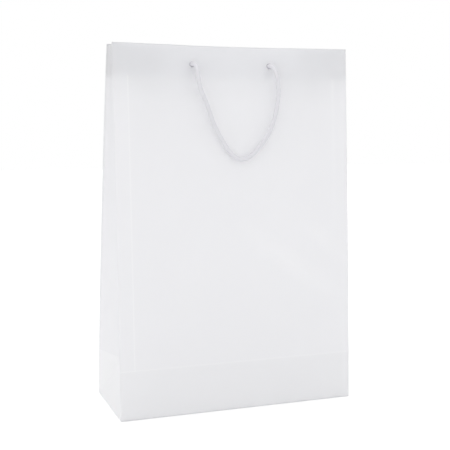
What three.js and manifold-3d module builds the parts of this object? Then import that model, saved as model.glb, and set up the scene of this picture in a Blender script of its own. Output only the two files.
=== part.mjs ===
// A frosted polypropylene carrier bag with two cord handles.
// Millimetres, +Z up. The origin is at the middle of the base, on the surface that the bag stands on.
// -Y is the front, and left and right are those of someone who looks at the front.

import * as THREE from 'three';
import { mergeVertices } from 'three/addons/utils/BufferGeometryUtils.js';
import Module from 'manifold-3d';

// Outer size
const BAG_WIDTH = 300;
const BAG_DEPTH = 125;        // at the base
const BAG_HEIGHT = 442;

// Sheet: one layer, and what lies double on the inside
const SHEET = 0.3;
const HEM_HEIGHT = 38;        // turned in around the mouth
const FLAP_WIDTH = 18;        // glue flap of the side seam, behind the front panel's left edge
const BASE_LAYERS = 2;        // the base is closed by flaps that overlap
const LAYER_RUNOUT = 0.4;     // width over which the edge of a second layer runs out

// How the panels stand: the front leans back, the back leans forward, and both bow back at the mouth
const FRONT_SETBACK = 22.5;
const FRONT_POWER = 1.25;
const FRONT_BOW = 16;
const BACK_LEAN = 76;
const BACK_POWER = 1.35;
const BACK_BOW = 19;
const BOW_POWER = 2;

// Crease around the foot, where the bag folds flat, with the gussets' inward fold starting from it
const CREASE_HEIGHT = 59;
const CREASE_RIDGE = 0.6;
const CREASE_REACH = 14;

// Handles
const CORD_DIAMETER = 5.5;
const CORD_SIDES = 10;
const CORD_STEPS = 40;
const HOLE_SPACING = 100;
const HOLE_DROP = 22.5;       // below the rim
const HOLE_CLEARANCE = 0.75;  // around the cord
const HOLE_SIDES = 20;
const PUNCH_OVERRUN = 2;      // how far the punch goes past both faces of the hem
const KNOT_DIAMETER = 13;
const KNOT_LENGTH = 11;
const KNOT_ROUNDING = 4;
const KNOT_ARC_STEPS = 2;
const KNOT_SIDES = 16;
const TAIL_LENGTH = 15;       // cord end that hangs from the knot
const SEAT_GAP = 0.3;         // between a knot and the sheet that it is drawn against

// Divisions of the folded sheet
const PANEL_STEPS = 11;
const GUSSET_STEPS = 8;
const FOOT_STEPS = GUSSET_STEPS / 2;   // equal steps put the gusset's slanting folds on the mesh's diagonals
const WALL_STEPS = 9;
const HEM_STEPS = 2;

// Routes of the handles, from one hole to the other
const FRONT_ROUTE = [
  [-50.1, -29.4, 419.4], [-49.8, -32.0, 419.7], [-49.0, -39.1, 418.7], [-48.6, -44.7, 414.2],
  [-48.3, -47.2, 407.6], [-47.3, -47.4, 399.6], [-45.2, -47.2, 390.6], [-41.6, -47.0, 382.2],
  [-37.2, -46.8, 372.6], [-33.0, -46.6, 361.4], [-28.6, -46.4, 349.6], [-22.4, -46.2, 337.6],
  [-15.0, -46.0, 325.6], [-7.5, -45.8, 315.0], [-0.2, -45.7, 308.6], [7.2, -45.6, 306.0],
  [15.0, -45.6, 307.2], [23.0, -45.7, 312.2], [31.3, -45.9, 320.6], [39.0, -46.1, 330.4],
  [45.1, -46.3, 340.8], [49.7, -46.5, 352.4], [52.8, -46.7, 364.5], [54.7, -46.9, 376.5],
  [55.4, -47.1, 387.6], [54.7, -47.3, 398.4], [53.0, -47.2, 407.6], [51.2, -44.8, 414.2],
  [50.0, -39.1, 418.7], [49.8, -32.0, 419.7], [50.1, -29.4, 419.4],
];
const BACK_ROUTE = [
  [50.1, 4.6, 419.4], [50.3, 7.2, 419.8], [50.8, 14.3, 419.1], [50.2, 20.2, 414.9],
  [48.4, 23.0, 408.3], [45.6, 23.5, 400.0], [42.2, 23.5, 390.6], [38.2, 23.5, 382.2],
  [34.0, 23.4, 372.6], [29.8, 23.4, 361.4], [25.3, 23.6, 349.6], [20.1, 24.6, 337.6],
  [14.1, 26.2, 325.6], [7.3, 27.8, 315.0], [0.2, 28.8, 308.6], [-7.2, 29.1, 306.0],
  [-15.0, 28.8, 307.2], [-23.0, 27.8, 312.2], [-31.3, 26.3, 320.6], [-39.0, 24.8, 330.4],
  [-45.1, 23.8, 340.8], [-49.7, 23.5, 352.4], [-52.8, 23.5, 364.5], [-54.7, 23.5, 376.5],
  [-55.4, 23.5, 387.6], [-54.9, 23.5, 398.4], [-53.4, 23.1, 408.0], [-51.9, 20.3, 414.8],
  [-50.9, 14.4, 419.1], [-50.3, 7.2, 419.8], [-50.1, 4.6, 419.4],
];

const frostedSheet = new THREE.MeshStandardMaterial({ color: 0xecebee, roughness: 0.5, metalness: 0 });
const cordYarn = new THREE.MeshStandardMaterial({ color: 0xe1e2e6, roughness: 0.9, metalness: 0 });

const wasm = await Module();
wasm.setup();

// Shape of the panels

const HALF_WIDTH = BAG_WIDTH / 2;
const HALF_DEPTH = BAG_DEPTH / 2;
const HEM_FOOT = BAG_HEIGHT - HEM_HEIGHT;
const HOLE_HEIGHT = BAG_HEIGHT - HOLE_DROP;
const BASE_THICKNESS = BASE_LAYERS * SHEET;
const HEM_THICKNESS = 2 * SHEET;

const rise = (z, power) => (z / BAG_HEIGHT) ** power;
const crown = (x) => (1 - (x / HALF_WIDTH) ** 2) ** 2;
const ridge = (z) => CREASE_RIDGE * Math.max(0, 1 - Math.abs(z - CREASE_HEIGHT) / CREASE_REACH);

function frontY(x, z) {
  const lean = FRONT_SETBACK * rise(z, FRONT_POWER);
  return -HALF_DEPTH + lean + FRONT_BOW * rise(z, BOW_POWER) * crown(x) - ridge(z);
}

function backY(x, z) {
  const lean = BACK_LEAN * rise(z, BACK_POWER);
  return HALF_DEPTH - lean + BACK_BOW * rise(z, BOW_POWER) * crown(x) + ridge(z);
}

// How far a gusset's centre fold is pushed in where its two halves, each half a base depth wide, close up
function foldIn(z) {
  const halfGap = (backY(HALF_WIDTH, z) - frontY(HALF_WIDTH, z)) / 2;
  return Math.sqrt(Math.max(0, HALF_DEPTH ** 2 - halfGap ** 2));
}

// across runs from -1 at the front panel's edge to 1 at the back panel's edge
function gussetPoint(side, across, z) {
  const front = frontY(HALF_WIDTH, z);
  const back = backY(HALF_WIDTH, z);
  const inward = 1 - Math.abs(across);
  if (z >= CREASE_HEIGHT) {
    const y = front + (back - front) * (1 + across) / 2;
    return new THREE.Vector2(side * (HALF_WIDTH - foldIn(z) * inward), y);
  }
  // Under the crease a triangle stands on the base's edge, between two slanting folds
  const up = z / CREASE_HEIGHT;
  const apexFront = frontY(HALF_WIDTH, CREASE_HEIGHT);
  const apexBack = backY(HALF_WIDTH, CREASE_HEIGHT);
  const apexMiddle = (apexFront + apexBack) / 2;
  const x = side * (HALF_WIDTH - foldIn(CREASE_HEIGHT) * Math.min(inward, up));
  if (inward >= up) return new THREE.Vector2(x, across * HALF_DEPTH + apexMiddle * up);
  const [edge, apexEdge] = across < 0 ? [front, apexFront] : [back, apexBack];
  return new THREE.Vector2(x, edge + (apexMiddle - apexEdge) * inward);
}

// Stations around and up the bag

// Equal steps after from, up to and with to
function steps(from, to, count) {
  return Array.from({ length: count }, (_, i) => from + (to - from) * (i + 1) / count);
}

const flapEdge = -HALF_WIDTH + FLAP_WIDTH;
const flapEnd = flapEdge + LAYER_RUNOUT;
const panelStations = [-HALF_WIDTH, flapEdge, flapEnd, ...steps(flapEnd, HALF_WIDTH, PANEL_STEPS)];
const gussetStations = [-1, ...steps(-1, 1, GUSSET_STEPS)];
const hemStart = HEM_FOOT - LAYER_RUNOUT;
const levels = [
  0,
  ...steps(0, CREASE_HEIGHT, FOOT_STEPS),
  ...steps(CREASE_HEIGHT, hemStart, WALL_STEPS),
  HEM_FOOT,
  ...steps(HEM_FOOT, BAG_HEIGHT, HEM_STEPS),
];

// rising marks where a slanting fold climbs along the turn
const frontStation = (x) => ({ at: (z) => new THREE.Vector2(x, frontY(x, z)), flap: x <= flapEdge });
const rightStation = (u) => ({ at: (z) => gussetPoint(1, u, z), rising: u < 0 });
const backStation = (x) => ({ at: (z) => new THREE.Vector2(x, backY(x, z)) });
const leftStation = (u) => ({ at: (z) => gussetPoint(-1, u, z), rising: u > 0 });

// One turn around the bag, from the front's left edge; each panel leaves its last point to the next one
const allButLast = (stations) => stations.slice(0, -1);
const around = [
  ...allButLast(panelStations).map(frontStation),
  ...allButLast(gussetStations).map(rightStation),
  ...allButLast(panelStations.toReversed()).map(backStation),
  ...allButLast(gussetStations.toReversed()).map(leftStation),
];

function thickness(station, z) {
  const hem = z >= HEM_FOOT ? SHEET : 0;
  const flap = station.flap ? SHEET : 0;
  return SHEET + hem + flap;
}

function outerRing(z) {
  return around.map((station) => station.at(z));
}

// The same turn moved in by the sheet's thickness, mitred at every fold
function innerRing(z) {
  const outer = outerRing(z);
  const inwardNormal = (a, b) => new THREE.Vector2(a.y - b.y, b.x - a.x).normalize();
  return outer.map((point, i) => {
    const before = inwardNormal(outer.at(i - 1), point);
    const after = inwardNormal(point, outer[(i + 1) % outer.length]);
    const reach = thickness(around[i], z) / (1 + before.dot(after));
    return before.add(after).multiplyScalar(reach).add(point);
  });
}

// Bag body

const positions = [];
const triangles = [];

function vertex(point, z) {
  positions.push(point.x, point.y, z);
  return positions.length / 3 - 1;
}

function quad(a, b, c, d, splitAC) {
  if (splitAC) triangles.push(a, b, c, a, c, d);
  else triangles.push(a, b, d, b, c, d);
}

// A skin is one ring of vertices per level; facing is 1 for the outside and -1 for the inside
function addSkin(rings, facing) {
  for (let k = 0; k + 1 < rings.length; k++) {
    around.forEach((station, c) => {
      const next = (c + 1) % around.length;
      const [a, b, u, v] = [rings[k][c], rings[k][next], rings[k + 1][next], rings[k + 1][c]];
      if (facing > 0) quad(a, b, u, v, station.rising);
      else quad(b, a, v, u, !station.rising);
    });
  }
}

// The base fills a ring with the panels' stations along X and the gussets' along Y
function addBase(ring, z, facing) {
  const right = panelStations.length - 1;
  const back = gussetStations.length - 1;
  const grid = panelStations.map((x, i) => gussetStations.map((u, j) => {
    if (j === 0) return ring[i];
    if (i === right) return ring[right + j];
    if (j === back) return ring[right + back + right - i];
    if (i === 0) return ring[ring.length - j];
    return vertex(new THREE.Vector2(x, u * HALF_DEPTH), z);
  }));
  for (let i = 0; i < right; i++) {
    for (let j = 0; j < back; j++) {
      const [a, b, c, d] = [grid[i][j], grid[i + 1][j], grid[i + 1][j + 1], grid[i][j + 1]];
      if (facing > 0) quad(a, b, c, d, true);
      else quad(a, d, c, b, true);
    }
  }
}

function addRim(outer, inner) {
  outer.forEach((_, c) => {
    const next = (c + 1) % outer.length;
    quad(outer[c], outer[next], inner[next], inner[c], true);
  });
}

function foldedSheet() {
  const innerLevels = levels.map((z) => Math.max(z, BASE_THICKNESS));
  const outer = levels.map((z) => outerRing(z).map((point) => vertex(point, z)));
  const inner = innerLevels.map((z) => innerRing(z).map((point) => vertex(point, z)));
  addSkin(outer, 1);
  addSkin(inner, -1);
  addBase(outer[0], 0, -1);
  addBase(inner[0], BASE_THICKNESS, 1);
  addRim(outer.at(-1), inner.at(-1));
  const geometry = new THREE.BufferGeometry();
  geometry.setAttribute('position', new THREE.Float32BufferAttribute(positions, 3));
  geometry.setIndex(triangles);
  return geometry;
}

// Joins and cuts

function solidOf(geometry) {
  const bare = geometry.clone();
  bare.deleteAttribute('normal');
  bare.deleteAttribute('uv');
  const merged = mergeVertices(bare);
  return new wasm.Manifold(new wasm.Mesh({
    numProp: 3,
    vertProperties: new Float32Array(merged.attributes.position.array),
    triVerts: new Uint32Array(merged.index.array),
  }));
}

function geometryOf(solid) {
  const mesh = solid.getMesh();
  const geometry = new THREE.BufferGeometry();
  geometry.setAttribute('position', new THREE.BufferAttribute(mesh.vertProperties, 3));
  geometry.setIndex(new THREE.BufferAttribute(mesh.triVerts, 1));
  geometry.computeVertexNormals();
  return geometry;
}

// Handle holes

// A hole's centre on the panel's outer face, the direction straight into the bag there, and a turn that
// lays a local Y axis along it with the local Z axis upwards
function holeFrame(panelY, inward, x) {
  const z = HOLE_HEIGHT;
  const span = CORD_DIAMETER;
  const slopeX = (panelY(x + span, z) - panelY(x - span, z)) / (2 * span);
  const slopeZ = (panelY(x, z + span) - panelY(x, z - span)) / (2 * span);
  const into = new THREE.Vector3(-slopeX, 1, -slopeZ).normalize().multiplyScalar(inward);
  const across = new THREE.Vector3().crossVectors(into, new THREE.Vector3(0, 0, 1)).normalize();
  const upward = new THREE.Vector3().crossVectors(across, into);
  const basis = new THREE.Matrix4().makeBasis(across, into, upward);
  return {
    centre: new THREE.Vector3(x, panelY(x, z), z),
    into,
    turn: new THREE.Quaternion().setFromRotationMatrix(basis),
  };
}

const holes = {
  front_left: holeFrame(frontY, 1, -HOLE_SPACING / 2),
  front_right: holeFrame(frontY, 1, HOLE_SPACING / 2),
  back_left: holeFrame(backY, -1, -HOLE_SPACING / 2),
  back_right: holeFrame(backY, -1, HOLE_SPACING / 2),
};

function punchedBody() {
  const radius = CORD_DIAMETER / 2 + HOLE_CLEARANCE;
  const stroke = 2 * (HEM_THICKNESS + PUNCH_OVERRUN);
  let body = solidOf(foldedSheet());
  for (const { centre, turn } of Object.values(holes)) {
    const punch = new THREE.CylinderGeometry(radius, radius, stroke, HOLE_SIDES);
    punch.applyQuaternion(turn).translate(centre.x, centre.y, centre.z);
    body = body.subtract(solidOf(punch));
  }
  return geometryOf(body);
}

// Cords and knots

function cordTube(route) {
  const curve = new THREE.CatmullRomCurve3(route.map((point) => new THREE.Vector3(...point)));
  const section = new THREE.Shape(
    Array.from({ length: CORD_SIDES }, (_, i) => {
      const angle = 2 * Math.PI * i / CORD_SIDES;
      return new THREE.Vector2(Math.cos(angle), Math.sin(angle)).multiplyScalar(CORD_DIAMETER / 2);
    }),
  );
  return new THREE.ExtrudeGeometry(section, { steps: CORD_STEPS, extrudePath: curve });
}

// A drawn-up knot, with its axis along the hole's and its end hanging down
function knotBarrel() {
  const radius = KNOT_DIAMETER / 2;
  const half = KNOT_LENGTH / 2;
  const round = Math.min(KNOT_ROUNDING, radius, half);
  const profile = new THREE.Path();
  profile.moveTo(0, -half);
  profile.lineTo(radius - round, -half);
  profile.absarc(radius - round, round - half, round, -Math.PI / 2, 0, false);
  profile.absarc(radius - round, half - round, round, 0, Math.PI / 2, false);
  profile.lineTo(0, half);
  const barrel = new THREE.LatheGeometry(profile.getPoints(KNOT_ARC_STEPS), KNOT_SIDES);
  const reach = radius + TAIL_LENGTH;
  const tail = new THREE.CylinderGeometry(CORD_DIAMETER / 2, CORD_DIAMETER / 2, reach, CORD_SIDES);
  tail.rotateX(Math.PI / 2).translate(0, 0, -reach / 2);
  return geometryOf(solidOf(barrel).add(solidOf(tail)));
}

// Assembly

const bag = new THREE.Group();

function addPart(name, geometry, material) {
  const mesh = new THREE.Mesh(geometry, material);
  mesh.name = name;
  bag.add(mesh);
  return mesh;
}

addPart('bag_body', punchedBody(), frostedSheet);
addPart('front_handle_cord', cordTube(FRONT_ROUTE), cordYarn);
addPart('back_handle_cord', cordTube(BACK_ROUTE), cordYarn);

for (const [place, { centre, into, turn }] of Object.entries(holes)) {
  const knot = addPart(`${place}_knot`, knotBarrel(), cordYarn);
  knot.quaternion.copy(turn);
  knot.position.copy(centre).addScaledVector(into, HEM_THICKNESS + SEAT_GAP + KNOT_LENGTH / 2);
}

export default bag;
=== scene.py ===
# %% [markdown]
# # A frosted carrier bag with cord handles
# The bag is one sheet of frosted plastic, creased, folded and glued, with two soft cords tied through
# punched holes. The CAD model gives its sizes and its frame. This lesson dresses that model: the sheet
# gets its hem, flaps, creases and buckles, and the cords get their strands and knots. Everything is in
# metres, in the CAD model's own frame, so each piece is made where it belongs.

# %% Load the frame
import math

import bmesh
import bpy
from mathutils import Matrix, Vector, noise
from mathutils.geometry import interpolate_bezier


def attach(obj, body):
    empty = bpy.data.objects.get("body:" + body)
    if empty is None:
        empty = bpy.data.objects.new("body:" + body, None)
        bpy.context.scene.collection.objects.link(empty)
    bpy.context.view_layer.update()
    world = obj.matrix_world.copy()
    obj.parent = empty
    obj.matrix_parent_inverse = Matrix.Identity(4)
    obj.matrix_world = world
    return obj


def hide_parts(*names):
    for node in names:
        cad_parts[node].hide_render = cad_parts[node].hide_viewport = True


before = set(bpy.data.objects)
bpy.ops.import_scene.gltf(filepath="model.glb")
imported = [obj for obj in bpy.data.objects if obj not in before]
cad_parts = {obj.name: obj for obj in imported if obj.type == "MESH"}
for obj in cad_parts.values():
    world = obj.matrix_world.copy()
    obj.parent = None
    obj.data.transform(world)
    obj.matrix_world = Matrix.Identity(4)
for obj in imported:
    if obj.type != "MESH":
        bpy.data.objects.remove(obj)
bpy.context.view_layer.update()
scene = bpy.context.scene
scene.view_settings.view_transform = "Standard"

# %% [markdown]
# ## The camera
# The photograph shows six corners of the bag, and those fix the camera: about 1.1 m away, a little to the
# left and a little above the middle. A camera in Blender looks down its own -Z, so 90 degrees about X
# levels it, and the rest of the turn tips it down and swings it to the right.

# %% Place the camera
TIP_DOWN, SWING = math.radians(6.334), math.radians(19.869)
camera = bpy.data.objects.new("photo_camera", bpy.data.cameras.new("photo_camera"))
camera.data.sensor_width = 36
camera.data.lens = 71.34
camera.location = (-0.3806, -1.0610, 0.3462)
camera.rotation_euler = (math.radians(90) - TIP_DOWN, 0, -SWING)
scene.collection.objects.link(camera)
scene.camera = camera
print("camera at", [round(c, 3) for c in camera.location])

# %% [markdown]
# ## Shader maths in Python
# A finish is a small network of nodes. Adding each node and each link by hand hides what the network
# works out, so this class wraps a node's output and lets Python's own operators add the Math nodes. Every
# other kind of node comes from one method, which takes its settings and what goes into its sockets.

# %% A wire that can be added and multiplied
class Wire:
    def __init__(self, tree, output=None):
        self.tree, self.output = tree, output

    def node(self, kind, settings=None, inputs=None, output=0):
        made = self.tree.nodes.new(kind)
        for name, value in (settings or {}).items():
            setattr(made, name, value)
        for name, value in (inputs or {}).items():
            if isinstance(value, Wire):
                self.tree.links.new(value.output, made.inputs[name])
            else:
                made.inputs[name].default_value = value
        return Wire(self.tree, made.outputs[output] if made.outputs else None)

    def maths(self, operation, first, second=0.0):
        return self.node("ShaderNodeMath", {"operation": operation}, {0: first, 1: second})

    def __add__(self, other):
        return self.maths("ADD", self, other)

    def __sub__(self, other):
        return self.maths("SUBTRACT", self, other)

    def __rsub__(self, other):
        return self.maths("SUBTRACT", other, self)

    def __mul__(self, other):
        return self.maths("MULTIPLY", self, other)

    __radd__, __rmul__ = __add__, __mul__


def new_finish(name):
    material = bpy.data.materials.new(name)
    material.use_nodes = True
    material.node_tree.nodes.clear()
    return material, Wire(material.node_tree)


print("wires ready")

# %% [markdown]
# ## The cords' routes
# Each handle leaves a hole in the hem, bends down over it and hangs against the panel, and its far end
# goes back into the other hole. A limp cord hangs in one smooth line, so these points, the same as the
# CAD model's, are joined by Bezier pieces whose handles point along the line at each point.

# %% Smooth lines through the route points
MM = 0.001
TINY = 1e-6
FRONT_ROUTE = [
    (-50.1, -29.4, 419.4), (-49.8, -32.0, 419.7), (-49.0, -39.1, 418.7), (-48.6, -44.7, 414.2),
    (-48.3, -47.2, 407.6), (-47.3, -47.4, 399.6), (-45.2, -47.2, 390.6), (-41.6, -47.0, 382.2),
    (-37.2, -46.8, 372.6), (-33.0, -46.6, 361.4), (-28.6, -46.4, 349.6), (-22.4, -46.2, 337.6),
    (-15.0, -46.0, 325.6), (-7.5, -45.8, 315.0), (-0.2, -45.7, 308.6), (7.2, -45.6, 306.0),
    (15.0, -45.6, 307.2), (23.0, -45.7, 312.2), (31.3, -45.9, 320.6), (39.0, -46.1, 330.4),
    (45.1, -46.3, 340.8), (49.7, -46.5, 352.4), (52.8, -46.7, 364.5), (54.7, -46.9, 376.5),
    (55.4, -47.1, 387.6), (54.7, -47.3, 398.4), (53.0, -47.2, 407.6), (51.2, -44.8, 414.2),
    (50.0, -39.1, 418.7), (49.8, -32.0, 419.7), (50.1, -29.4, 419.4),
]
BACK_ROUTE = [
    (50.1, 4.6, 419.4), (50.3, 7.2, 419.8), (50.8, 14.3, 419.1), (50.2, 20.2, 414.9),
    (48.4, 23.0, 408.3), (45.6, 23.5, 400.0), (42.2, 23.5, 390.6), (38.2, 23.5, 382.2),
    (34.0, 23.4, 372.6), (29.8, 23.4, 361.4), (25.3, 23.6, 349.6), (20.1, 24.6, 337.6),
    (14.1, 26.2, 325.6), (7.3, 27.8, 315.0), (0.2, 28.8, 308.6), (-7.2, 29.1, 306.0),
    (-15.0, 28.8, 307.2), (-23.0, 27.8, 312.2), (-31.3, 26.3, 320.6), (-39.0, 24.8, 330.4),
    (-45.1, 23.8, 340.8), (-49.7, 23.5, 352.4), (-52.8, 23.5, 364.5), (-54.7, 23.5, 376.5),
    (-55.4, 23.5, 387.6), (-54.9, 23.5, 398.4), (-53.4, 23.1, 408.0), (-51.9, 20.3, 414.8),
    (-50.9, 14.4, 419.1), (-50.3, 7.2, 419.8), (-50.1, 4.6, 419.4),
]


ROUTE_STEPS = 15


def smooth_line(points, cuts):
    points = [Vector(point) for point in points]
    around = [2 * points[0] - points[1], *points, 2 * points[-1] - points[-2]]
    headings = [(after - before).normalized() for before, after in zip(around, around[2:])]
    line = []
    for start, end, leaving, arriving in zip(points, points[1:], headings, headings[1:]):
        reach = (end - start).length / 3
        line += interpolate_bezier(start, start + leaving * reach, end - arriving * reach, end, cuts)[:-1]
    return line + [points[-1]]


def line_length(line):
    return sum((after - before).length for before, after in zip(line, line[1:]))


front_line = smooth_line([Vector(point) * MM for point in FRONT_ROUTE], ROUTE_STEPS)
back_line = smooth_line([Vector(point) * MM for point in BACK_ROUTE], ROUTE_STEPS)
print("cord lengths, mm:", [round(1000 * line_length(line), 1) for line in (front_line, back_line)])

# %% [markdown]
# ## A laid cord
# The cord is three soft strands twisted together. A curve with a round bevel would be a smooth hose. A
# grid rolled into a tube keeps the strands: its columns run along them, so a column can sink into the
# groove between two strands, and the tube turns once per lay length as it follows the line. The grid
# brings its own UV map, which runs around and along the cord for the fibres of the finish.

# %% Roll a grid into a cord
CORD_RADIUS = 2.75 * MM
CORD_SIDES = 30
STRANDS = 3
GROOVE, STRAND_ROUNDNESS = 0.12, 0.8
LAY_LENGTH = 21 * MM
TAIL_END = 0.55


def laid_cord(name, line, radius, lay, taper=0):
    bm = bmesh.new()
    bm.loops.layers.uv.new("UVMap")
    last = len(line) - 1
    bmesh.ops.create_grid(bm, x_segments=CORD_SIDES, y_segments=last, size=1, calc_uvs=True)
    across = (line[1] - line[0]).orthogonal().normalized()
    gone, frames = 0.0, []
    for step, centre in enumerate(line):
        heading = (line[min(step + 1, last)] - line[max(step - 1, 0)]).normalized()
        across = (across - heading * across.dot(heading)).normalized()
        gone += (centre - line[step - 1]).length if step else 0
        frames.append((centre, across.copy(), heading.cross(across), gone))
    for vert in bm.verts:
        step = round((vert.co.y + 1) / 2 * last)
        turn = (vert.co.x + 1) * math.pi
        centre, across, beside, gone = frames[step]
        lobe = 1 - GROOVE * (1 - abs(math.cos(turn * STRANDS / 2)) ** STRAND_ROUNDNESS)
        ends = min(1, TAIL_END + (1 - TAIL_END) * (last - step) / taper) if taper else 1
        angle = turn + 2 * math.pi * gone / lay
        vert.co = centre + (across * math.cos(angle) + beside * math.sin(angle)) * (radius * lobe * ends)
    bmesh.ops.remove_doubles(bm, verts=bm.verts, dist=TINY)
    bmesh.ops.holes_fill(bm, edges=[edge for edge in bm.edges if edge.is_boundary], sides=0)
    bmesh.ops.recalc_face_normals(bm, faces=bm.faces)
    return finish_mesh(name, bm)


def finish_mesh(name, bm):
    mesh = bpy.data.meshes.new(name)
    bm.to_mesh(mesh)
    bm.free()
    mesh.shade_smooth()
    piece = bpy.data.objects.new(name, mesh)
    scene.collection.objects.link(piece)
    print(name, len(mesh.polygons), "faces")
    return piece


front_cord = laid_cord("front_cord_laid", front_line, CORD_RADIUS, LAY_LENGTH)
back_cord = laid_cord("back_cord_laid", back_line, CORD_RADIUS, LAY_LENGTH)

# %% [markdown]
# ## The folded shape of the sheet
# Seen from above, the bag is 300 by 125 mm at its base and narrows towards the mouth, because the side
# gussets fold inwards. The panels lean, and bow a little where the handles pull. These are the CAD model's
# own formulas, so the dressed sheet lies on the CAD solid. A gusset keeps its 125 mm of sheet at every
# height, so what the mouth loses in depth goes into its inward fold.

# %% Where each panel lies
HALF_WIDTH, HALF_DEPTH, HEIGHT = 150 * MM, 62.5 * MM, 442 * MM
CREASE_HEIGHT = 59 * MM
RIDGE, RIDGE_REACH = 0.6 * MM, 14 * MM
FRONT_LEAN, FRONT_CURVE, FRONT_BOW = 22.5 * MM, 1.25, 16 * MM
BACK_LEAN, BACK_CURVE, BACK_BOW = 76 * MM, 1.35, 19 * MM
BOW_CURVE = 2


def rise(z, power):
    return (max(z, 0) / HEIGHT) ** power


def crown(x):
    return (1 - (x / HALF_WIDTH) ** 2) ** 2


def ridge(z):
    return RIDGE * max(0, 1 - abs(z - CREASE_HEIGHT) / RIDGE_REACH)


def front_y(x, z):
    bow = FRONT_BOW * rise(z, BOW_CURVE) * crown(x)
    return -HALF_DEPTH + FRONT_LEAN * rise(z, FRONT_CURVE) + bow - ridge(z)


def back_y(x, z):
    bow = BACK_BOW * rise(z, BOW_CURVE) * crown(x)
    return HALF_DEPTH - BACK_LEAN * rise(z, BACK_CURVE) + bow + ridge(z)


def fold_in(z):
    half_gap = (back_y(HALF_WIDTH, z) - front_y(HALF_WIDTH, z)) / 2
    return math.sqrt(max(0, HALF_DEPTH ** 2 - half_gap ** 2))


def gusset_point(side, across, z):
    front, back, inward = front_y(HALF_WIDTH, z), back_y(HALF_WIDTH, z), 1 - abs(across)
    if z >= CREASE_HEIGHT:
        x = side * (HALF_WIDTH - fold_in(z) * inward)
        return Vector((x, front + (back - front) * (1 + across) / 2, z))
    up = z / CREASE_HEIGHT
    top_front, top_back = front_y(HALF_WIDTH, CREASE_HEIGHT), back_y(HALF_WIDTH, CREASE_HEIGHT)
    middle = (top_front + top_back) / 2
    x = side * (HALF_WIDTH - fold_in(CREASE_HEIGHT) * min(inward, up))
    if inward >= up:
        return Vector((x, across * HALF_DEPTH + middle * up, z))
    edge, top_edge = (front, top_front) if across < 0 else (back, top_back)
    return Vector((x, edge + (middle - top_edge) * inward, z))


mouth_depth = back_y(HALF_WIDTH, HEIGHT) - front_y(HALF_WIDTH, HEIGHT)
print("mouth depth at the sides, mm:", round(1000 * mouth_depth, 1))

# %% [markdown]
# ## Buckles in the panels
# A sheet this thin is never quite even: a long shallow buckle crosses the front from the middle down to
# the right edge, and the panels wander by fractions of a millimetre. The bumps are added to the formulas
# as smooth hills, and fade out at the folds, where the sheet is stiff, and at the hem.

# %% How far a panel stands out of its formula
WANDER, WANDER_TOP = 0.9 * MM, 395 * MM
BROAD, FINE = (9, 7), (21, 15)
FADE_ABOVE_CREASE, FADE_UNDER_HEM = 60 * MM, 40 * MM
LONG_BUCKLE = ((10 * MM, 222 * MM), (122 * MM, 139 * MM), 13 * MM)
SHORT_BUCKLE = ((96 * MM, 222 * MM), (124 * MM, 194 * MM), 9 * MM)
LONG_RISE, SHORT_RISE = 1.1 * MM, 0.6 * MM
FRONT_SEED, BACK_SEED = 2.0, 9.0


def hill(x, z, start, end, width):
    along = Vector((end[0] - start[0], end[1] - start[1]))
    place = Vector((x - start[0], z - start[1]))
    share = min(1, max(0, place.dot(along) / along.length_squared))
    return math.exp(-((place - along * share).length / width) ** 2)


def buckle(x, z, seed):
    wander = noise.noise(Vector((x * BROAD[0], z * BROAD[1], seed)))
    wander += 0.5 * noise.noise(Vector((x * FINE[0], z * FINE[1], seed + 4)))
    fade = (1 - (x / HALF_WIDTH) ** 2) * min(1, max(0, (z - CREASE_HEIGHT) / FADE_ABOVE_CREASE))
    return wander * WANDER * fade * min(1, max(0, (WANDER_TOP - z) / FADE_UNDER_HEM))


def front_buckle(x, z):
    hills = LONG_RISE * hill(x, z, *LONG_BUCKLE) + SHORT_RISE * hill(x, z, *SHORT_BUCKLE)
    return buckle(x, z, FRONT_SEED) - hills


print("buckle at the middle, mm:", round(1000 * front_buckle(0, 0.2), 2))

# %% [markdown]
# ## The sheet as a box
# Before it is folded, the sheet is easy to think of as a plain box without a lid. A cube gets the bag's
# size and loses its top, and planes cut it along every line that matters: the creases, the glue flap's
# edge, the hem, squares around the holes, and enough lines between for smooth curves. Each point keeps
# its place on this box in a layer called flat, so that creases can be found again after the folding.

# %% Cut the box along its lines
HEM_FOOT = 404 * MM
FLAP_EDGE = -HALF_WIDTH + 18 * MM
HOLE_X, HOLE_Z, HOLE_RADIUS = 50 * MM, 419.5 * MM, 3.5 * MM
HOLE_SQUARE = 6 * MM
SEAM_STEP = 1.5 * MM
EDGE_STRIP, MOUTH_STRIP = 3 * MM, 2 * MM
GUSSET_ROWS = 12
LINE_GAP = 7.5 * MM


def with_lines_between(places, gap):
    filled = []
    for start, end in zip(places, places[1:]):
        cuts = math.ceil((end - start) / gap - TINY)
        filled += [start + (end - start) * cut / cuts for cut in range(cuts)]
    return filled[1:]


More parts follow.
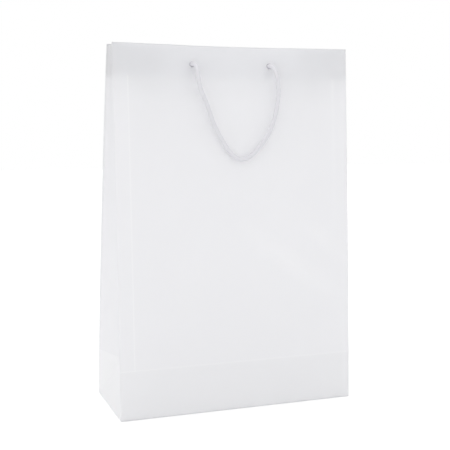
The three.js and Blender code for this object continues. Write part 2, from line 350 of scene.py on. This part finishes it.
def sheet_box():
    bm = bmesh.new()
    flat = bm.verts.layers.float_vector.new("flat")
    bmesh.ops.create_cube(bm, size=1)
    bmesh.ops.scale(bm, vec=(2 * HALF_WIDTH, 2 * HALF_DEPTH, HEIGHT), verts=bm.verts)
    bmesh.ops.translate(bm, vec=(0, 0, HEIGHT / 2), verts=bm.verts)
    lid = [face for face in bm.faces if face.calc_center_median().z > HEIGHT - MM]
    bmesh.ops.delete(bm, geom=lid, context="FACES_ONLY")
    square = [place * HOLE_SQUARE / 2 for place in (-2, -1, 0, 1, 2)]
    across = [-HALF_WIDTH, EDGE_STRIP - HALF_WIDTH, FLAP_EDGE, FLAP_EDGE + MM]
    across += [side * HOLE_X + place for side in (-1, 1) for place in square]
    across += [HALF_WIDTH - EDGE_STRIP, HALF_WIDTH]
    rows = [CREASE_HEIGHT * row / GUSSET_ROWS for row in range(GUSSET_ROWS + 1)]
    rows += [HEM_FOOT, HEM_FOOT + SEAM_STEP, *[HOLE_Z + place for place in square]]
    rows += [HEIGHT - MOUTH_STRIP, HEIGHT]
    depths = [HALF_DEPTH * row / GUSSET_ROWS for row in range(-GUSSET_ROWS, GUSSET_ROWS + 1)]
    for axis, places in ((0, across), (1, depths), (2, rows)):
        for place in with_lines_between(places, LINE_GAP):
            point, normal = Vector(), Vector()
            point[axis], normal[axis] = place, 1
            bmesh.ops.bisect_plane(
                bm, geom=[*bm.verts, *bm.edges, *bm.faces], dist=TINY, plane_co=point, plane_no=normal)
    return bm, flat


sheet, flat = sheet_box()
print("box of", len(sheet.faces), "faces")

# %% [markdown]
# Two more cuts are made while the sheet is a box. The foot of each gusset has a crease from each base
# corner up to the gusset's middle, so slanted planes cut the two ends there. The four holes for the cords
# are punched: the squares around them go, and a circle is bridged to each square's edges.

# %% Slanted creases and punched holes
for end in (-1, 1):
    for way in (-1, 1):
        foot_faces = [face for face in sheet.faces
                      if abs(face.calc_center_median().x - end * HALF_WIDTH) < TINY
                      and face.calc_center_median().z < CREASE_HEIGHT
                      and face.calc_center_median().y * way > 0]
        parts = {part for face in foot_faces for part in [*face.verts, *face.edges, face]}
        bmesh.ops.bisect_plane(
            sheet, geom=list(parts), dist=1e-5, plane_co=(0, 0, CREASE_HEIGHT),
            plane_no=(0, CREASE_HEIGHT * way, HALF_DEPTH))

for panel in (-1, 1):
    for side in (-1, 1):
        centre = Vector((side * HOLE_X, panel * HALF_DEPTH, HOLE_Z))
        punched = [face for face in sheet.faces
                   if max(map(abs, face.calc_center_median() - centre)) < HOLE_SQUARE]
        rim = {edge for face in punched for edge in face.edges
               if any(other not in punched for other in edge.link_faces)}
        bmesh.ops.delete(sheet, geom=punched, context="FACES")
        turn = Matrix.Translation(centre) @ Matrix.Rotation(math.pi / 2, 4, "X")
        ring = bmesh.ops.create_circle(sheet, segments=32, radius=HOLE_RADIUS, matrix=turn)["verts"]
        edges = {edge for vert in ring for edge in vert.link_edges}
        bmesh.ops.bridge_loops(sheet, edges=[*rim, *edges])

bmesh.ops.recalc_face_normals(sheet, faces=sheet.faces)
for vert in sheet.verts:
    vert[flat] = vert.co
open_edges = sum(edge.is_boundary for edge in sheet.edges)
print("sheet of", len(sheet.faces), "faces with", open_edges, "open edges")

# %% [markdown]
# ## Folding
# Folding moves every point of the box to its place on the bag: the front and back follow their formulas
# and their buckles, the ends become the gussets, and the base stays flat but rises by the thickness of the
# flaps that are glued under it. Then the creases are bevelled, because a folded sheet has a small radius.

# %% Fold the sheet and round its creases
FLAP_STACK, STACK_SLOPE = 0.64 * MM, 4 * MM
CREASE_RADIUS = 0.6 * MM


def folded(place):
    x, y, z = place
    if abs(abs(x) - HALF_WIDTH) < TINY:
        return gusset_point(math.copysign(1, x), y / HALF_DEPTH, z)
    if abs(y + HALF_DEPTH) < TINY:
        return Vector((x, front_y(x, z) + front_buckle(x, z), z))
    if abs(y - HALF_DEPTH) < TINY:
        return Vector((x, back_y(x, z) + buckle(x, z, BACK_SEED), z))
    to_edge = min(HALF_WIDTH - abs(x), HALF_DEPTH - abs(y))
    return Vector((x, y, FLAP_STACK * min(1, to_edge / STACK_SLOPE)))


def on_crease(place):
    x, y, z = abs(place.x) > HALF_WIDTH - TINY, abs(place.y) > HALF_DEPTH - TINY, place.z
    inward = 1 - abs(place.y) / HALF_DEPTH
    lines = set()
    if x and y:
        lines.add("corner")
    if z < TINY and (x or y):
        lines.add("base_end" if x else "base_side")
        if x and y:
            lines.add("base_side")
    if x and abs(place.y) < TINY and z > CREASE_HEIGHT - TINY:
        lines.add("gusset_fold")
    if x and abs(inward - z / CREASE_HEIGHT) < 1e-4:
        lines.add("gusset_slant")
    if y and abs(z - CREASE_HEIGHT) < TINY:
        lines.add("panel_crease")
    return lines


for vert in sheet.verts:
    vert.co = folded(vert[flat])
creases = [edge for edge in sheet.edges
           if on_crease(edge.verts[0][flat]) & on_crease(edge.verts[1][flat])]
bmesh.ops.bevel(
    sheet, geom=creases, offset=CREASE_RADIUS, offset_type="OFFSET", segments=2, profile=0.5,
    affect="EDGES", material=-1, clamp_overlap=True)
print("rounded", len(creases), "crease edges")

# %% [markdown]
# ## The hem
# The mouth is stiffened by a hem: the top 38 mm of the sheet is turned in. The turned part lies against a
# wall that is already there, so it starts as a copy of the wall's own faces, moved inwards. The copy faces
# the other way, as a turned-over sheet does, and a strip joins the two along the mouth. Over the seam at
# the left of the front, where the sheet is glued double, the hem ends a little higher and lies deeper.

# %% Turn in the hem
LAYER = 0.36 * MM


def flat_middle(face):
    return sum((vert[flat] for vert in face.verts), Vector()) / len(face.verts)


def on_seam(place):
    return place.y < TINY - HALF_DEPTH and place.x < FLAP_EDGE + 0.5 * MM


def at_mouth(edge):
    return edge.is_boundary and min(vert[flat].z for vert in edge.verts) > HEIGHT - 0.1 * MM


hem_faces = [face for face in sheet.faces
             if flat_middle(face).z > HEM_FOOT + SEAM_STEP * on_seam(flat_middle(face))]
mouth_edges = [edge for edge in sheet.edges if at_mouth(edge)]
sheet.normal_update()
copies = bmesh.ops.duplicate(sheet, geom=hem_faces)["geom"]
turned = [part for part in copies if isinstance(part, bmesh.types.BMFace)]
moves = {vert: vert.normal * LAYER * (2 + on_seam(vert[flat]))
         for vert in copies if isinstance(vert, bmesh.types.BMVert)}
for vert, move in moves.items():
    vert.co -= move
bmesh.ops.reverse_faces(sheet, faces=turned)
turned_edges = {edge for face in turned for edge in face.edges if at_mouth(edge)}
strip = bmesh.ops.bridge_loops(sheet, edges=[*mouth_edges, *turned_edges])
print("hem", len(turned), "faces, mouth strip", len(strip["faces"]), "faces")

# %% [markdown]
# ## The flaps under the base
# Under the base, the sheet's long flaps are folded over and glued: first the front one, then the back one
# over it. Their slanted ends and the back flap's straight edge show on the underside. Each is a face of
# four points.

# %% Lay the base flaps
FLAP_REACH = 80 * MM
FLAP_INSET = 2 * MM
FRONT_FLAP_LEVEL = LAYER - 0.04 * MM


def base_flap(way, level):
    hinge, edge = way * (HALF_DEPTH - MM), way * (HALF_DEPTH - FLAP_REACH)
    ends = [(-1, HALF_WIDTH - FLAP_INSET, hinge), (1, HALF_WIDTH - FLAP_INSET, hinge),
            (1, HALF_WIDTH - FLAP_REACH, edge), (-1, HALF_WIDTH - FLAP_REACH, edge)]
    corners = [sheet.verts.new((side * x, y, level)) for side, x, y in ends]
    face = sheet.faces.new(corners)
    face.normal_update()
    if face.normal.z > 0:
        face.normal_flip()


base_flap(-1, FRONT_FLAP_LEVEL)
base_flap(1, 0)
bag = finish_mesh("folded_bag", sheet)

# %% [markdown]
# ## Knots
# Inside the hem each cord end is tied in an overhand knot, and its tail hangs down. A knot is the same
# laid cord on another line: out of the hole, once around itself on a trefoil, and down. It is drawn tight,
# so the cord is squeezed a little thinner in it.

# %% Tie the four knots
KNOT_DEPTH = 6.4 * MM
KNOT_SIZE = 1.4 * MM
KNOT_CORD_RADIUS, KNOT_LAY_LENGTH = 2.3 * MM, 15 * MM
KNOT_STEPS, KNOT_START, KNOT_TURN = 20, 0.25, 2 * math.pi - 0.85
TAIL = 21.2 * MM


def hole_frame(panel_y, panel, side):
    x, step = side * HOLE_X, 0.1 * MM
    slope_x = (panel_y(x + step, HOLE_Z) - panel_y(x - step, HOLE_Z)) / (2 * step)
    slope_z = (panel_y(x, HOLE_Z + step) - panel_y(x, HOLE_Z - step)) / (2 * step)
    into = Vector((slope_x, -1, slope_z)).normalized() * panel
    return Vector((x, panel_y(x, HOLE_Z), HOLE_Z)), into


def knot_line(hole, into, side):
    upward = (Vector((0, 0, 1)) - into * into.z).normalized()
    beside = into.cross(upward) * side
    middle = hole + into * KNOT_DEPTH
    turns = [KNOT_START + KNOT_TURN * step / KNOT_STEPS for step in range(KNOT_STEPS + 1)]
    loop = [(math.sin(t) + 2 * math.sin(2 * t), math.cos(t) - 2 * math.cos(2 * t), -1.5 * math.sin(3 * t))
            for t in turns]
    points = [hole + into * 0.4 * MM]
    points += [middle + (beside * a + upward * b + into * c) * KNOT_SIZE for a, b, c in loop]
    end = points[-1]
    points += [Vector((end.x * (1 - share) + middle.x * share, end.y * (1 - share) + middle.y * share,
                       end.z - (end.z - middle.z + TAIL) * share)) for share in (0.35, 0.7, 1)]
    return smooth_line(points, 7)


knots = {}
for panel_name, panel_y, panel in (("front", front_y, -1), ("back", back_y, 1)):
    for side_name, side in (("left", -1), ("right", 1)):
        hole, into = hole_frame(panel_y, panel, side)
        node = f"{panel_name}_{side_name}_knot"
        line = knot_line(hole, into, side)
        knots[node] = laid_cord(f"{node}_tied", line, KNOT_CORD_RADIUS, KNOT_LAY_LENGTH, taper=3)

# %% [markdown]
# ## The frosted finish
# Frosted polypropylene is clear plastic with a finely pebbled surface and a little white in it. It glows:
# part of the light goes through and spreads. Glass would be clear, and plain white would be dead, so the
# finish mixes a white plastic with a translucent shader, which is made for a sheet of a single surface.
# Painted shade darkens the sheet where the hem lies double, in a soft band just under the hem and along the
# foot below the crease, and a thin painted shadow runs along the base edge. Painted highlights whiten the
# crease, the seam edge, a line near the right edge and the buckles, and painted light whitens the gussets,
# most where they are folded most. All of these are placed with the flat layer that the sheet kept.

# %% Find the masks for the painted light and shade
PANEL_REACH = 0.5 * MM
# Widths and reaches of the painted highlights and the painted shade.
SEAM_LINE, RIGHT_LINE_WIDTH, CREASE_LINE = 1.2 * MM, 3.5 * MM, 1.5 * MM
RIGHT_LINE_LENGTH, HEM_SHADE, GUSSET_LIGHT_REACH = 190 * MM, 32 * MM, 220 * MM
LONG_HIGHLIGHT = ((10 * MM, 222 * MM), (132 * MM, 132 * MM), 17 * MM)
SHORT_HIGHLIGHT = ((88 * MM, 233 * MM), (134 * MM, 185 * MM), 14 * MM)
frosted, wire = new_finish("frosted_sheet")


def blend(factor, first, second):
    return wire.node("ShaderNodeMix", {"data_type": "RGBA"}, {0: factor, 6: first, 7: second}, output=2)


def near(value, target, reach):
    return 1 - wire.maths("MINIMUM", wire.maths("ABSOLUTE", value - target) * (1 / reach), 1)


# A band of painted highlight along a buckle on the front panel.
def highlight_band(start, end, width):
    along = (Vector(end) - Vector(start)).normalized()
    gone = (sideways - start[0]) * along.x + (high_up - start[1]) * along.y
    beside = (high_up - start[1]) * along.x - (sideways - start[0]) * along.y
    length = (Vector(end) - Vector(start)).length
    return near(beside, 0, width) * near(gone, length / 2, length * 0.6) * front


unfolded = wire.node("ShaderNodeAttribute", {"attribute_name": "flat"}, output="Vector")
sideways, deep, high_up = (
    wire.node("ShaderNodeSeparateXYZ", {}, {0: unfolded}, output=axis) for axis in "XYZ")
front = wire.maths("LESS_THAN", deep, PANEL_REACH - HALF_DEPTH)
panels = wire.maths("GREATER_THAN", wire.maths("ABSOLUTE", deep), HALF_DEPTH - PANEL_REACH)
seam = front * wire.maths("LESS_THAN", sideways, FLAP_EDGE)
hem = wire.maths("GREATER_THAN", high_up, HEM_FOOT + seam * SEAM_STEP)
below_crease = wire.maths("LESS_THAN", high_up, CREASE_HEIGHT)
upright = front * wire.maths("GREATER_THAN", high_up, CREASE_HEIGHT) * (1 - hem)
seam_edge_highlight = upright * near(sideways, FLAP_EDGE, SEAM_LINE)
right_line_highlight = upright * near(sideways, -FLAP_EDGE - MM, RIGHT_LINE_WIDTH) * near(high_up, HEM_FOOT, RIGHT_LINE_LENGTH)
crease = panels * near(high_up, CREASE_HEIGHT, CREASE_LINE)
under_hem_shade = panels * (1 - hem) * near(high_up, HEM_FOOT, HEM_SHADE)
gusset_light = wire.maths("MAXIMUM", near(high_up, HEIGHT, GUSSET_LIGHT_REACH), below_crease)
long_highlight = 0.7 * highlight_band(*LONG_HIGHLIGHT)
short_highlight = 0.45 * highlight_band(*SHORT_HIGHLIGHT)
print("masks:", len(frosted.node_tree.nodes), "nodes")

# %% Colour the sheet
CLOUD_SCALE, GRAIN_SCALE = 11, 1900
FROST_DARK, FROST_LIGHT = (0.915, 0.915, 0.93, 1), (0.94, 0.94, 0.953, 1)
GUSSET_PAINTED_LIGHT, PAINTED_HIGHLIGHT_WHITE = (0.985, 0.985, 0.99, 1), (0.99, 0.99, 0.995, 1)
FOOT_PAINTED_SHADE, HEM_PAINTED_SHADE = (0.88, 0.885, 0.89, 1), (0.898, 0.902, 0.92, 1)
UNDER_HEM_PAINTED_SHADE, BASE_EDGE_PAINTED_SHADOW = (0.88, 0.885, 0.9, 1), (0.66, 0.66, 0.69, 1)
BASE_SHADOW_REACH = 1.6 * MM
place = wire.node("ShaderNodeTexCoord", output="Object")
cloud = wire.node("ShaderNodeTexNoise", {}, {"Vector": place, "Scale": CLOUD_SCALE, "Detail": 3})
grain = wire.node("ShaderNodeTexNoise", {}, {"Vector": place, "Scale": GRAIN_SCALE, "Detail": 2})
painted_highlights = seam_edge_highlight + right_line_highlight * 0.5 + crease * 0.6 + long_highlight + short_highlight
base_edge_shadow = panels * near(high_up, 0, BASE_SHADOW_REACH)
tone = blend(cloud, FROST_DARK, FROST_LIGHT)
# Painted light whitens the gussets a little, and most near the mouth and below the crease.
tone = blend((1 - panels) * (0.1 + gusset_light * 0.7), tone, GUSSET_PAINTED_LIGHT)
# Painted shade darkens the panels' foot below the crease.
tone = blend(panels * below_crease * 0.35, tone, FOOT_PAINTED_SHADE)
# Painted shade darkens the panels where the hem lies double.
tone = blend(hem * panels, tone, HEM_PAINTED_SHADE)
# Painted shade darkens a soft band just under the hem.
tone = blend(under_hem_shade * 0.7, tone, UNDER_HEM_PAINTED_SHADE)
# Painted highlights whiten the crease, the seam edge, a line near the right edge and the buckles.
tone = blend(painted_highlights, tone, PAINTED_HIGHLIGHT_WHITE)
# A painted shadow darkens a thin line along the panels' base edge.
tone = blend(base_edge_shadow * 0.7, tone, BASE_EDGE_PAINTED_SHADOW)
print("colours:", len(frosted.node_tree.nodes), "nodes")

# %% Mix plastic and glow
PEBBLE_DEPTH = 0.04 * MM
GLOW_TONE, GLOW_SHARE = (0.93, 0.93, 0.945, 1), 0.33
pebble = wire.node("ShaderNodeBump", {}, {"Height": grain, "Strength": 0.35, "Distance": PEBBLE_DEPTH})
plastic = wire.node("ShaderNodeBsdfPrincipled", {}, {
    "Base Color": tone, "Roughness": 0.42 + grain * 0.16, "IOR": 1.49, "Normal": pebble})
glow = wire.node("ShaderNodeBsdfTranslucent", {}, {"Color": GLOW_TONE})
sheet_shader = wire.node("ShaderNodeMixShader", {}, {0: GLOW_SHARE, 1: plastic, 2: glow})
wire.node("ShaderNodeOutputMaterial", {}, {"Surface": sheet_shader})
bag.data.materials.append(frosted)
print("finish", frosted.name, len(frosted.node_tree.nodes), "nodes")

# %% [markdown]
# ## The cord finish
# The cord is soft white yarn. Its fibres run nearly along it, so a noise on the UV map is stretched along
# the cord, and lifts the surface only a little. Fabric has no sharp highlight, so the roughness is high.

# %% Spin the cord finish
YARN_DARK, YARN_LIGHT = (0.70, 0.694, 0.73, 1), (0.76, 0.754, 0.79, 1)
FIBRE_STRETCH, FUZZ_DEPTH = (60, 90, 1), 0.15 * MM
yarn, wire = new_finish("handle_cord")
unrolled = wire.node("ShaderNodeTexCoord", output="UV")
stretched = wire.node("ShaderNodeMapping", {}, {"Vector": unrolled, "Scale": FIBRE_STRETCH})
fibre = wire.node("ShaderNodeTexNoise", {}, {"Vector": stretched, "Scale": 1, "Detail": 3})
shade = wire.node("ShaderNodeMix", {"data_type": "RGBA"}, {
    0: fibre, 6: YARN_DARK, 7: YARN_LIGHT}, output=2)
fuzz = wire.node("ShaderNodeBump", {}, {"Height": fibre, "Strength": 0.35, "Distance": FUZZ_DEPTH})
cloth = wire.node("ShaderNodeBsdfPrincipled", {}, {
    "Base Color": shade, "Roughness": 0.8, "Sheen Weight": 0.15, "Normal": fuzz})
wire.node("ShaderNodeOutputMaterial", {}, {"Surface": cloth})
for piece in (front_cord, back_cord, *knots.values()):
    piece.data.materials.append(yarn)
print("finish", yarn.name, len(yarn.node_tree.nodes), "nodes")

# %% [markdown]
# ## Which piece stands for which part
# Each piece rides on the bag's one body and hides the CAD solid that it stands for.

# %% Tie the pieces to the frame
dressed = [(bag, "bag_body", "frosted_sheet"), (front_cord, "front_handle_cord", "handle_cord"),
           (back_cord, "back_handle_cord", "handle_cord")]
dressed += [(knot, node, "handle_cord") for node, knot in knots.items()]
for piece, node, finish in dressed:
    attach(piece, "root")
    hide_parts(node)
for piece, line, ends in ((front_cord, front_line, "front"), (back_cord, back_line, "back")):
    round(line_length(line), 4)
print("pieces:", len(dressed))

# %% [markdown]
# ## Floor and light
# The bag stands on a white floor in soft white light from all round, as in a light tent, a little stronger
# from above and from the left, so that the panels and the folds part from each other. Lamps would draw
# edges on a sheet this smooth. The floor and the sky are white to the camera, and to rays that reach them
# off a gloss or through the sheet, and the floor still takes the bag's faint shadow.

# %% Lay the floor
FLOOR_DROP, FLOOR_SIZE, FLOOR_LIFT = 0.2 * MM, 6, 0.15
PAPER_WHITE = (0.95, 0.95, 0.95, 1)


def seen_straight(wire):
    sight = wire.node("ShaderNodeLightPath", output="Is Camera Ray")
    for kind in ("Is Glossy Ray", "Is Transmission Ray"):
        sight = wire.maths("MAXIMUM", sight, wire.node("ShaderNodeLightPath", output=kind))
    return sight


bm = bmesh.new()
bmesh.ops.create_grid(
    bm, x_segments=1, y_segments=1, size=FLOOR_SIZE, matrix=Matrix.Translation((0, 0, -FLOOR_DROP)))
floor = finish_mesh("floor", bm)
white, wire = new_finish("studio_floor")
paper = wire.node("ShaderNodeBsdfDiffuse", {}, {"Color": PAPER_WHITE})
lift = wire.node("ShaderNodeEmission", {}, {"Strength": FLOOR_LIFT * seen_straight(wire)})
lit = wire.node("ShaderNodeAddShader", {}, {0: paper, 1: lift})
wire.node("ShaderNodeOutputMaterial", {}, {"Surface": lit})
floor.data.materials.append(white)

# %% Light the sky
SKY_LEVEL, FROM_ABOVE, FROM_FRONT, FROM_LEFT = 0.885, 0.28, 0.02, 0.15
world = bpy.data.worlds.new("studio_sky")
world.use_nodes = True
world.node_tree.nodes.clear()
scene.world = world
wire = Wire(world.node_tree)
way = wire.node("ShaderNodeTexCoord", output="Generated")
rightward, backward, upward = (
    wire.node("ShaderNodeSeparateXYZ", {}, {0: way}, output=axis) for axis in "XYZ")
level = SKY_LEVEL + upward * FROM_ABOVE - backward * FROM_FRONT - rightward * FROM_LEFT
soft = wire.node("ShaderNodeBackground", {}, {"Color": (1, 1, 1, 1), "Strength": level})
seen = wire.node("ShaderNodeBackground", {}, {"Color": (1, 1, 1, 1), "Strength": 1.0})
sky = wire.node("ShaderNodeMixShader", {}, {0: seen_straight(wire), 1: soft, 2: seen})
wire.node("ShaderNodeOutputWorld", {}, {"Surface": sky})
print("stage set")
